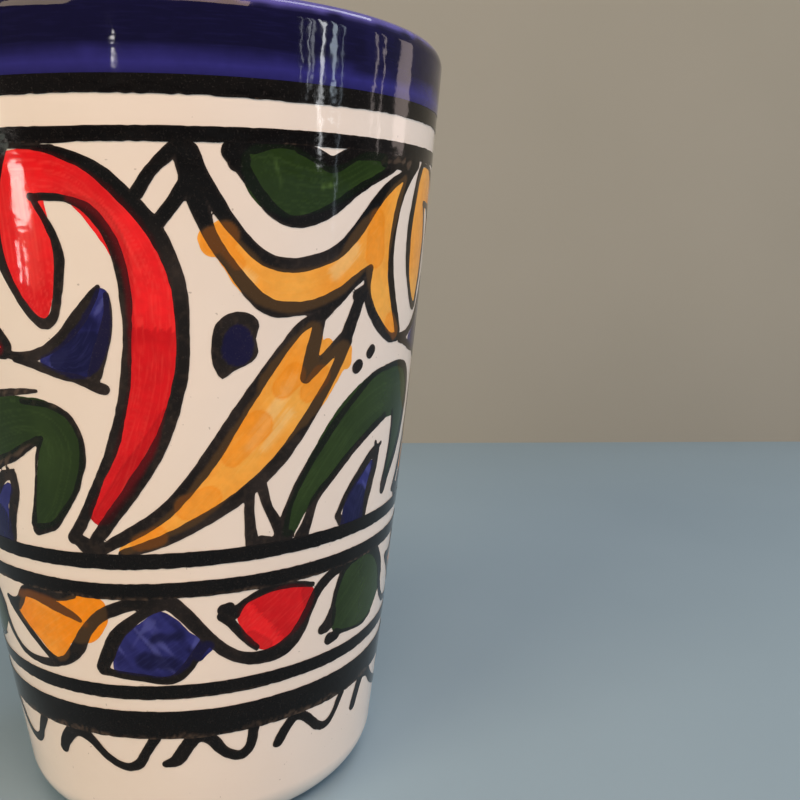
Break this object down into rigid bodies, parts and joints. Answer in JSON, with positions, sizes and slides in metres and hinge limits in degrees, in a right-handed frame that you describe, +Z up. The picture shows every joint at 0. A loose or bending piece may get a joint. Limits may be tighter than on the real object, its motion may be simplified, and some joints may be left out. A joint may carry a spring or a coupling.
{
  "type": "shot glass",
  "caption": "Small tapered ceramic shot glass, white glazed, with hand-painted bands of curled leaves, a leafy vine and scallops.",
  "frame": {"origin": "centre of the foot, on the plane the glass stands on", "axes": "+Z up along the turned axis, -Y towards the front of the painted pattern, where the angles start"},
  "size_m": [0.0426, 0.0426, 0.0601],
  "materials": {
    "clay": "matt fired clay",
    "white_glaze": "gloss clear-white glaze",
    "blue_paint": "gloss underglaze navy",
    "leaf_blue_paint": "gloss underglaze blue",
    "black_paint": "gloss underglaze black",
    "red_paint": "gloss underglaze red",
    "yellow_paint": "gloss underglaze yellow",
    "green_paint": "gloss underglaze green"
  },
  "bodies": {
    "root": {"clay_body": "clay", "white_glaze": "white_glaze", "blue_rim_band": "blue_paint", "rim_line": "black_paint", "frieze_top_line": "black_paint", "frieze_bottom_line": "black_paint", "vine_top_line": "black_paint", "vine_bottom_line": "black_paint", "base_band": "black_paint", "frieze_outlines": "black_paint", "frieze_red": "red_paint", "frieze_yellow": "yellow_paint", "frieze_green": "green_paint", "frieze_blue": "leaf_blue_paint", "vine_outlines": "black_paint", "vine_red": "red_paint", "vine_green": "green_paint", "vine_yellow": "yellow_paint", "vine_blue": "leaf_blue_paint", "scallop_strokes": "black_paint"}
  },
  "joints": []
}
